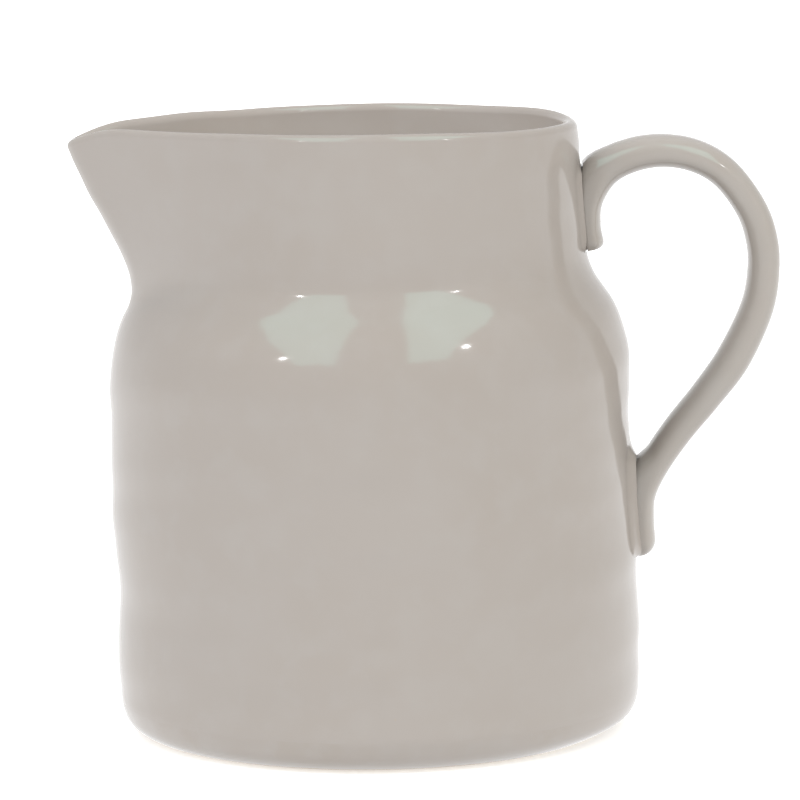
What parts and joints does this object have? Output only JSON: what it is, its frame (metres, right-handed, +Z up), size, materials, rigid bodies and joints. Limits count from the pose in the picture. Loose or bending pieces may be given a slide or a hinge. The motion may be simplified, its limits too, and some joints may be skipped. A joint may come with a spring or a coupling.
{
  "type": "ceramic pitcher",
  "caption": "Round glazed stoneware pitcher with a drawn-in neck, a broad beak spout and a looped strap handle, for holding and pouring liquids.",
  "frame": {"origin": "centre of the foot ring's resting plane, on the axis of the jar", "axes": "+Z up the jar's axis, +X towards the handle, -X towards the spout, XZ the plane of symmetry"},
  "size_m": [0.2213, 0.1636, 0.19],
  "materials": {
    "glaze": "glossy greige glaze, slightly uneven, fired on",
    "bare_clay": "unglazed, wiped and fired"
  },
  "bodies": {
    "root": {"foot_ring": "bare_clay", "floor_disc": "glaze", "floor_coil": "glaze", "jar_wall": "glaze", "beak_spout": "glaze", "beak_slip_seam": "glaze", "strap_handle": "glaze", "upper_handle_slip": "glaze", "lower_handle_slip": "glaze"}
  },
  "joints": []
}
